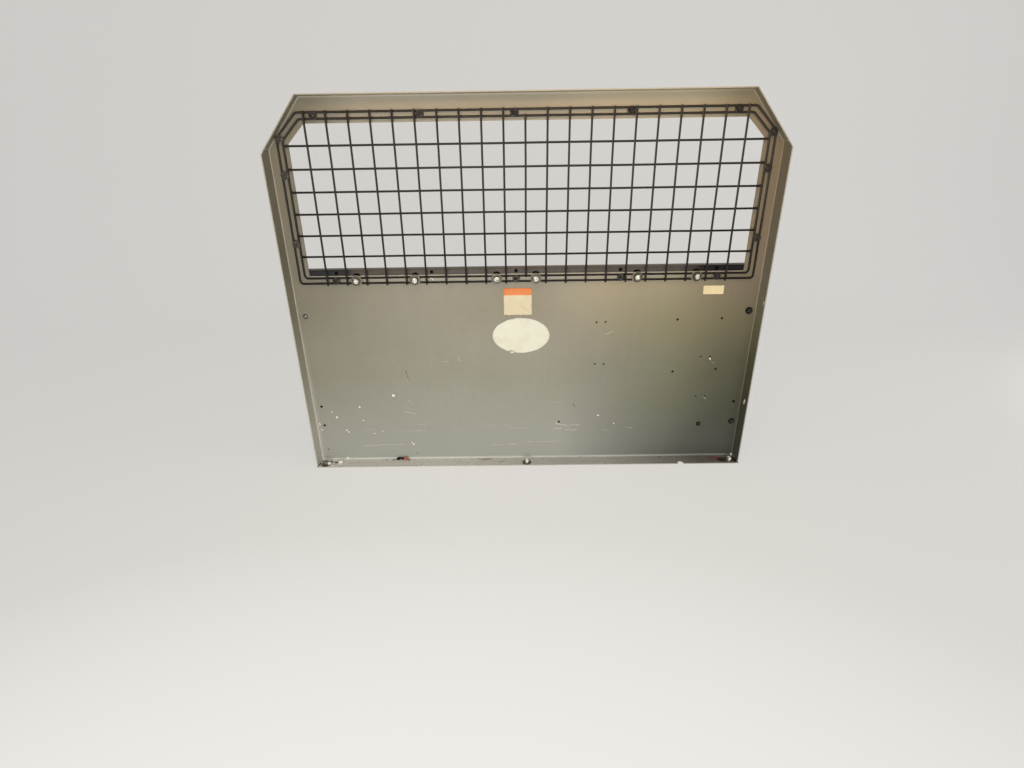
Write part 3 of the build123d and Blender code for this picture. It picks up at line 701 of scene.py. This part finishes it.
# The middling heads are painted dark round their sides, as a painted reflection of dark surroundings, and
# blotched with grey where the plating is still dull
middling = [(wear_and_glint, 0.5, 0.6), (wear_and_glint, 0.9, 0.8)]
sideways = node(tree, "ShaderNodeMath", {0: facing["X"]}, operation="ABSOLUTE")
upright = node(tree, "ShaderNodeMath", {0: facing["Z"], 1: overlap(tree, middling)}, operation="MULTIPLY")
sideways = node(tree, "ShaderNodeMath", {0: sideways, 1: upright}, operation="MAXIMUM")
gloss = node(tree, "ShaderNodeMapRange", {0: dapple, 3: 0.38, 4: 0.56})
fill(shader, {
    "Base Color": layered(tree, "#9a988f", [
        ("#7a766a", 0.6, [(dapple, 0.42, 0.72)]),
        # Painted glint: the heads are painted whiter the higher the value
        ("#eceee0", 1.0, [(wear_and_glint, 0.4, 0.6)]),
        ("#f4f2ea", 1.0, [(wear_and_glint, 0.8, 1.0)]),
        ("#6f7266", 0.80, [(blotches, 0.53, 0.62)] + middling),
        ("#6e6250", 0.6, [(dapple, 0.64, 0.74)]),
        ("#3d382e", 0.85, [(sideways, 0.35, 0.60)])]),
    "Roughness": node(tree, "ShaderNodeMath", {0: wear_and_glint, 1: 0.12, 2: gloss}, operation="MULTIPLY_ADD"),
    "Metallic": node(tree, "ShaderNodeMapRange", {0: wear_and_glint, 1: 0.6, 2: 1.0, 3: 1.0, 4: 0.45}),
    "Normal": node(tree, "ShaderNodeBump", {"Strength": 0.25, "Distance": 0.0001, "Height": dapple})})

# The washers are phosphated steel, a dark and nearly dull grey brown, with pale painted highlights round
# their rims. The crystals are too fine to show, and a dapple 5 mm wide stands for them
washer_grey, tree, shader, place, dapple = new_finish("phosphated_steel_grey_brown", 0.85, 0.46, (0.005, 4.0))
flatness = node(tree, "ShaderNodeMath", {0: facing_axes(tree)["Y"]}, operation="ABSOLUTE")
wear_and_glint = node(tree, "ShaderNodeAttribute", attribute_name="wear_and_glint").outputs["Fac"]
rim = overlap(tree, [(flatness, 0.98, 0.85), (flatness, 0.15, 0.35), (wear_and_glint, 0.1, 0.7)])
fill(shader, {
    "Base Color": layered(tree, "#5e5a50", [
        ("#38322a", 0.7, [(dapple, 0.40, 0.70)]),
        # Painted highlights on the rolled rims
        ("#8d8778", 0.50, [(flatness, 0.90, 0.60)]),
        ("#857d6d", 0.4, [(dapple, 0.62, 0.72)]),
        ("#a9a48f", 0.85, [(rim, 0, 1)])]),
    "Metallic": node(tree, "ShaderNodeMapRange", {0: rim, 3: 0.85, 4: 0.25}),
    "Roughness": node(tree, "ShaderNodeMapRange", {0: dapple, 3: 0.38, 4: 0.58}),
    "Normal": node(tree, "ShaderNodeBump", {"Strength": 0.35, "Distance": 0.00015, "Height": dapple})})


def washer(outer, hole, low, high):
    """A punched washer with a rolled upper edge."""
    return [(hole, low), (outer - 0.3, low), (outer, low + 0.3), (outer, high - 1.1),
            (outer - 0.5, high - 0.5), (outer - 1.2, high - 0.1), (outer - 1.9, high), (hole + 0.5, high),
            (hole, high - 0.3)]


def thread(shank_r, depth, low, turns):
    """The rings of a thread of 1.25 mm pitch, from its lowest one up."""
    return [(shank_r - (0.1 if i % 2 else depth), low + 0.625 * i) for i in range(turns)]


def hex_head(seat, height):
    """The head of a hexagon bolt, 13 mm across flats, with chamfered corners and a shallow dish."""
    top = seat + height
    return [(6.0, seat), (6.3, seat + 0.3, 6), (6.5, seat + 0.6, 6), (6.5, top - 0.9, 6), (6.25, top - 0.3),
            (5.9, top), (4.7, top), (4.3, top - 0.4), (1.4, top - 1.3), (0, top - 1.35)]


def hex_nut(bore, low, high):
    """A hexagon nut of 13 mm across flats with chamfered corners."""
    return [(bore, low), (5.9, low), (6.3, low + 0.3), (6.5, low + 0.9, 6), (6.5, high - 0.9, 6),
            (6.3, high - 0.3), (5.9, high), (bore, high)]


sill_bolts = [(x, face_y, clamp_low_z, 0.78) for x in bolt_xs]
shank_r, shank_end, under_head = 3.9, -14.0, 7.55
sill_bolt = [(0, shank_end), (shank_r - 1.0, shank_end)] + thread(shank_r, 0.75, shank_end + 0.7, 14)
sill_bolt += [(shank_r, shank_end + 10), (shank_r, under_head)] + hex_head(under_head, 5.3)
set_row("sill_washer_row", sill_bolts, sized(washer(13.8, 4.2, seat, 7.5), 56, True), washer_grey, 21,
        ["sill_washers"])
set_row("sill_bolt_row", sill_bolts, sized(sill_bolt, 48), bright_zinc, 22, ["sill_bolts"])
set_row("sill_nut_row", sill_bolts, sized(hex_nut(3.95, -11.5, -5.05), 48, True), zinc_dull, 23,
        ["sill_nuts"])

# Screws in the panel. Black flanged screws with domed heads hold the panel at its edges, with hexagon nuts
# behind it; one top is worn to bare steel, and the others carry a painted glint.
panel_screws = [(-582, face_y, 435.5, 7.0, 0.9), (585, face_y, 436.0, 9.5, 0.05),
                (586, face_y, 114.0, 8.5, 0.05), (493, face_y, 106.0, 6.8, 0.05)]
for number, (x, y, z, flange_r, glint_and_wear) in enumerate(panel_screws):
    domed = [(0, -11.5), (3.2, -11.5)] + thread(3.9, 0.7, -10.9, 9)
    domed += [(3.9, -5.0), (3.9, 0.05), (flange_r - 0.3, 0.05), (flange_r, 0.35), (flange_r - 0.1, 0.9),
              (flange_r - 0.8, 1.5), (5.8, 1.7), (5.7, 2.6), (5.1, 3.6), (4.2, 4.2), (3.0, 4.55), (2.2, 4.6),
              (1.75, 4.35, 6), (1.75, 2.9, 6), (0.9, 2.5, 6), (0, 2.4)]
    set_row("panel_screw_%d" % number, [(x, y, z, glint_and_wear)], sized(domed, 40), clamp_black, 31 + number,
            ["panel_screws"])
set_row("panel_nut_row", [(x, y, z, 0.3) for x, y, z, *_ in panel_screws],
        sized(hex_nut(4.0, -9.0, -2.55), 48, True), zinc_dull, 36, ["panel_nuts"])

# Floor bolts. Three zinc-plated hexagon bolts hold the floor flange down, each on a spring washer and a
# broad dark washer. Their holes are the partition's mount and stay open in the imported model.
floor_bolts = [(-582, 0, sheet, 0.1), (0, 0, sheet, 1.0), (582, 0, sheet, 1.0)]
set_row("floor_washer_row", [(x, y, z, 0.1) for x, y, z, glint_and_wear in floor_bolts],
        sized(washer(12.9, 5.0, 0.05, 2.6), 56, True), washer_grey, 41, axis=upwards)
floor_bolt = [(0, -2.4), (3.8, -2.4), (4.8, -2.0), (4.8, 2.65), (6.4, 2.65), (6.6, 2.9), (6.6, 4.5),
              (6.4, 4.75), (5.2, 4.8), (5.2, 5.0)] + hex_head(5.0, 6.4)
set_row("floor_bolt_row", floor_bolts, sized(floor_bolt, 48), bright_zinc, 42, axis=upwards,
        turn=0.1)

# Dirt, and painted shade in the holes. Crumbs of dry sealant beside the left floor bolt, a scrap of dark leaf
# litter and a flake of rusty scale in the fold of the floor flange, and near-black fills in the unused holes,
# as painted shade of their dark openings: dull and dry, with no gloss.
litter, tree, shader, place, grain = new_finish("dry_grit_scale_grime_and_hole_shade", 0.0, 0.9, (0.0015, 3.0))
tone = node(tree, "ShaderNodeAttribute", attribute_name="tone").outputs["Fac"]
fill(shader, {
    "Specular IOR Level": 0.08,
    "Base Color": layered(tree, "#f2ede4", [
        ("#b4694f", 1.0, [(tone, 0.2, 0.3)]),
        ("#8b7f6c", 0.35, [(grain, 0.45, 0.75)]),
        # Near-black, for grime and for the painted shade in the holes
        ("#0c0b0a", 1.0, [(tone, 0.7, 0.8)])]),
    "Normal": node(tree, "ShaderNodeBump", {"Strength": 0.6, "Distance": 0.0003, "Height": grain})})
sealant, scale, grime_and_hole_shade = 0.0, 0.5, 1.0
# Each crumb by its x and y, its height above the floor flange, its three half sizes, and its tone
crumbs = [
    (-572, -2, 2.2, 5.2, 4.0, 5.2, sealant), (-543.5, 8, 0.0, 6.0, 5.0, 5.2, sealant),
    (-600, 16, 0.0, 1.5, 1.4, 1.8, sealant), (-599, 10, 0.0, 1.6, 1.4, 1.6, sealant),
    (-598, -10, 0.0, 1.8, 1.2, 1.3, sealant), (-553, 10, 0.0, 1.8, 1.6, 2.0, grime_and_hole_shade),
    (-379, 24.0, 0.0, 5.0, 2.6, 3.4, grime_and_hole_shade), (-373, 24.5, 2.6, 6.5, 2.6, 3.4, grime_and_hole_shade),
    (-365, 24.5, 2.0, 5.0, 2.6, 3.0, grime_and_hole_shade), (-391, 21.5, 0.0, 2.6, 2.2, 1.6, grime_and_hole_shade),
    (-355, 24.0, 0.0, 6.2, 3.2, 6.2, scale), (-346, 22.0, 0.0, 3.4, 2.4, 2.6, scale),
]
# Dirt has filled the slots at both ends of the floor flange
crumbs += [(x, y, -2.2, 2.2, half_y, 1.6, grime_and_hole_shade) for x in (-601.7, 601.7)
           for y, half_y in ((-1, 9), (17, 12))]
shape = bmesh.new()
tones = shape.verts.layers.float.new("tone")
for number, (x, y, rise, *half_sizes, tone) in enumerate(crumbs):
    sunk = 0.6 * half_sizes[2]
    middle = Vector((x, y, sheet + 0.05 + rise + sunk))
    for vert in bmesh.ops.create_icosphere(shape, subdivisions=3, radius=1.0)["verts"]:
        rough = 1 + 0.35 * noise.noise(vert.co * 1.6 + Vector((7.0 * number, 0, 0)))
        spread = Vector([axis * half for axis, half in zip(vert.co * rough, half_sizes)])
        spread.z = max(spread.z, -sunk)
        vert.co = (middle + spread) * mm
        vert[tones] = tone
across_face, across_floor = Vector((1, 0.22, 1)), Vector((1, 1, 0.22))
# Near-black fills in the drilled holes, the rail's holes and a hole in the floor flange, as painted shade
plugs = [(Vector((x, face_y + 1.7, z)), r, across_face) for x, z, r, shade_reach in drilled]
plugs += [(spot / mm + Vector((0, 1.2, 0)), 3.3, across_face) for spot in hole_places]
plugs.append((Vector((386.5, 17, 1.4)), 2.5, across_floor))
for spot, radius, flat in plugs:
    for vert in bmesh.ops.create_icosphere(shape, subdivisions=3, radius=radius - 0.05)["verts"]:
        vert.co = (spot + vert.co * flat) * mm
        vert[tones] = grime_and_hole_shade
mesh = as_mesh(shape, "litter_and_grime")
mesh.materials.append(litter)
add_piece("litter_and_grime", mesh)


# Stickers. Three stickers of thin vinyl film on the panel, left blank: a cream one with an orange band and
# a torn lower edge, a white oval with a torn notch and the flake from it, and a small cream tag. The film
# is smooth with a satin gloss, is stained with age, and holds dirt where its edges have begun to lift.
def sticker_edge(half_x, half_z, corner):
    """The outline of a sticker about its middle, in millimetres; with no corner radius it is an oval."""
    edge = []
    if corner:
        for sign_x, sign_z, start in ((1, 1, 0), (-1, 1, 90), (-1, -1, 180), (1, -1, 270)):
            middle = Vector((sign_x * (half_x - corner), 0, sign_z * (half_z - corner)))
            turns = [radians(start + 15 * i) for i in range(7)]
            edge += [middle + corner * Vector((cos(turn), 0, sin(turn))) for turn in turns]
    else:
        edge = [Vector((half_x * cos(radians(3 * i)), 0, half_z * sin(radians(3 * i)))) for i in range(120)]
    divided = []
    for start, end in zip(edge, edge[1:] + edge[:1]):
        parts = max(1, round((end - start).length / 2.0))
        divided += [start.lerp(end, i / parts) for i in range(parts)]
    return divided


def add_film(shape, middle, edge, seed):
    """Adds a thin sheet with this outline to a mesh; it lies on the panel's face and lifts at its edges."""
    # Real film is 0.1 mm thick; it is made 0.25 mm thick, so that its edge shows
    layers = []
    for thickness in (0.25, 0.0):
        rings = []
        for share in (1.0, 0.97, 0.92, 0.8, 0.5, 0.0):
            ring = []
            for point in edge if share else edge[:1]:
                spot = middle + point * share
                curl = 0.5 + 0.9 * noise.noise(Vector((spot.x / 14, seed, spot.z / 14)))
                lift = 0.04 + max(0.0, curl) * max(0.0, (share - 0.9) / 0.1) ** 2
                ring.append(shape.verts.new(Vector((spot.x, face_y - lift - thickness, spot.z)) * mm))
            rings.append(ring)
        layers.append(rings)
    count = len(edge)
    for rings in layers:
        for outer, inner in zip(rings, rings[1:]):
            for i in range(count):
                j = i + 1
                corners = [outer[i], outer[j % count], inner[j % len(inner)], inner[i % len(inner)]]
                shape.faces.new(list(dict.fromkeys(corners)))
    for i in range(count):
        j = (i + 1) % count
        shape.faces.new((layers[0][0][i], layers[0][0][j], layers[1][0][j], layers[1][0][i]))


band_edge = sticker_edge(36.5, 36.0, 1.0)
for point in band_edge:
    if point.z < -35:
        point.z += max(0.0, 1.2 + 2.6 * noise.noise(Vector((point.x / 5, 3.7, 0))))
oval_edge = sticker_edge(76.0, 48.3, None)
notch_x, notch_half, notch_depth = -25.5, 8.0, 5.0
for point in oval_edge:
    share = 1 - abs(point.x - notch_x) / notch_half
    if point.z < 0 and share > 0:
        point.z += notch_depth * sqrt(share)
flake_edge = [point + Vector((0, 0, 0.9 * noise.noise(point / 3))) for point in sticker_edge(4.6, 2.6, 0.8)]
tag_edge = sticker_edge(26.5, 11.2, 0.8)
stickers = [
    ("sticker_orange_band", "#ddcfa9", [(Vector((-21.5, 0, 467.0)), band_edge)]),
    ("sticker_white_oval", "#e6e6d3", [(Vector((-13.7, 0, 375.6)), oval_edge),
                                       (Vector((-38.2, 0, 329.0)), flake_edge)]),
    ("sticker_small_tag", "#ffecbb", [(Vector((484.6, 0, 491.8)), tag_edge)]),
]
band_low = 0.4842
for number, (name, colour, sheets) in enumerate(stickers):
    vinyl, tree, shader, place, stains, fine = new_finish(
        name.replace("sticker", "vinyl_film"), 0.0, 0.4, (0.02, 4.0), (0.0025, 2.0))
    _, deep, height = node(tree, "ShaderNodeSeparateXYZ", {0: place}).outputs
    layers = [("#d3c7a0", 0.35, [(stains, 0.40, 0.75)])]
    if name == "sticker_orange_band":
        layers.append(("#e4780b", 1.0, [(height, band_low, band_low + 0.4 * mm)]))
    layers += [("#b9ad8d", 0.25, [(fine, 0.60, 0.72)]),
               ("#9c9174", 0.35, [(deep, (face_y - 0.4) * mm, (face_y - 1.0) * mm)])]
    fill(shader, {
        "IOR": 1.53,
        "Base Color": layered(tree, colour, layers),
        "Roughness": node(tree, "ShaderNodeMapRange", {0: stains, 3: 0.30, 4: 0.55}),
        "Normal": node(tree, "ShaderNodeBump", {"Strength": 0.2, "Distance": 0.0001, "Height": fine})})
    shape = bmesh.new()
    for middle, edge in sheets:
        add_film(shape, middle, edge, 5.0 * number)
    bmesh.ops.recalc_face_normals(shape, faces=shape.faces)
    mesh = as_mesh(shape, name, 40)
    mesh.materials.append(vinyl)
    add_piece(name, mesh)
